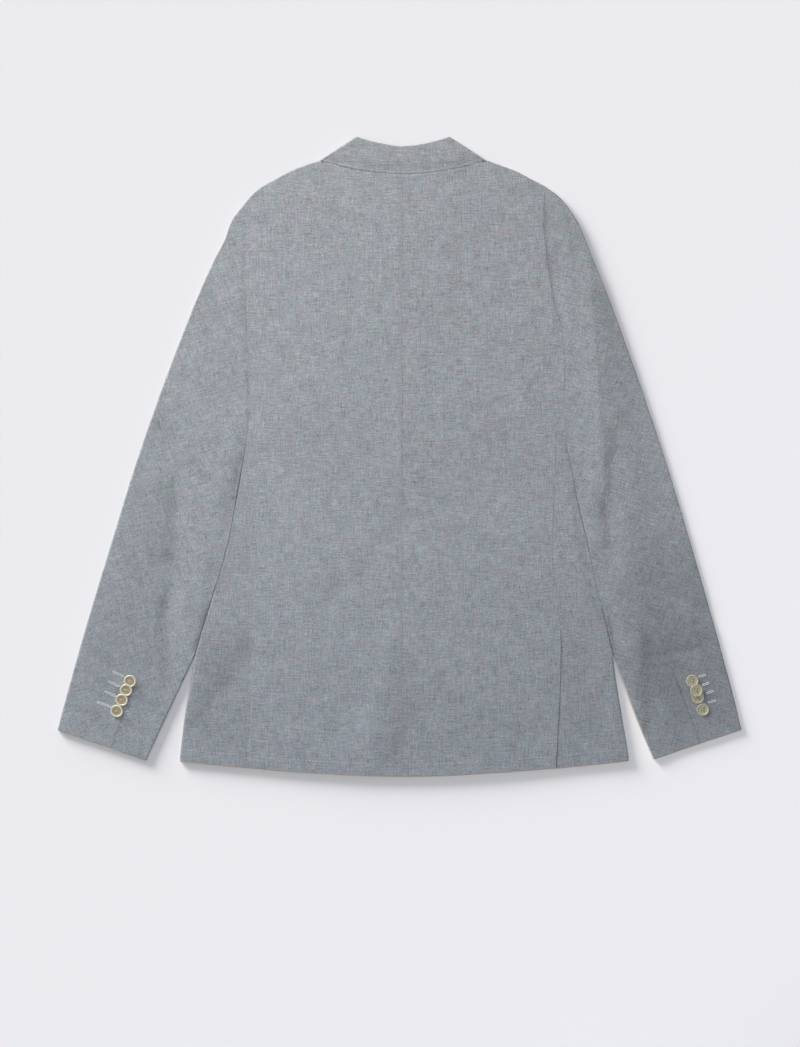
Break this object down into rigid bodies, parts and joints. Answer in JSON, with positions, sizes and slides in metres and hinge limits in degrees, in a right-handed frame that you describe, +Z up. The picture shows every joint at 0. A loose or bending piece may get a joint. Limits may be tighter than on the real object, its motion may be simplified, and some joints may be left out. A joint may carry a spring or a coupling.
{
  "type": "blazer",
  "caption": "Unstructured chambray blazer laid face down with its back on top, with side vents, set-in sleeves and overlapping cuff buttons.",
  "frame": {"origin": "under the middle of the laid blazer, on the surface that it lies on", "axes": "+Z up from the surface towards the blazer's back, +Y towards the collar, +X towards the wearer's right sleeve"},
  "size_m": [0.8086, 0.7543, 0.0126],
  "materials": {
    "chambray": "matt linen and cotton chambray",
    "horn": "pale horn look"
  },
  "bodies": {
    "root": {"back_left": "chambray", "back_right": "chambray", "side_left": "chambray", "side_right": "chambray", "front_left": "chambray", "front_right": "chambray", "lapel_left": "chambray", "lapel_right": "chambray", "top_sleeve_left": "chambray", "under_sleeve_left": "chambray", "top_sleeve_right": "chambray", "under_sleeve_right": "chambray", "collar": "chambray", "collar_stand": "chambray", "cuff_button_left_1": "horn", "cuff_button_left_2": "horn", "cuff_button_left_3": "horn", "cuff_button_left_4": "horn", "cuff_button_right_1": "horn", "cuff_button_right_2": "horn", "cuff_button_right_3": "horn", "cuff_button_right_4": "horn", "front_button_1": "horn", "front_button_2": "horn"}
  },
  "joints": []
}
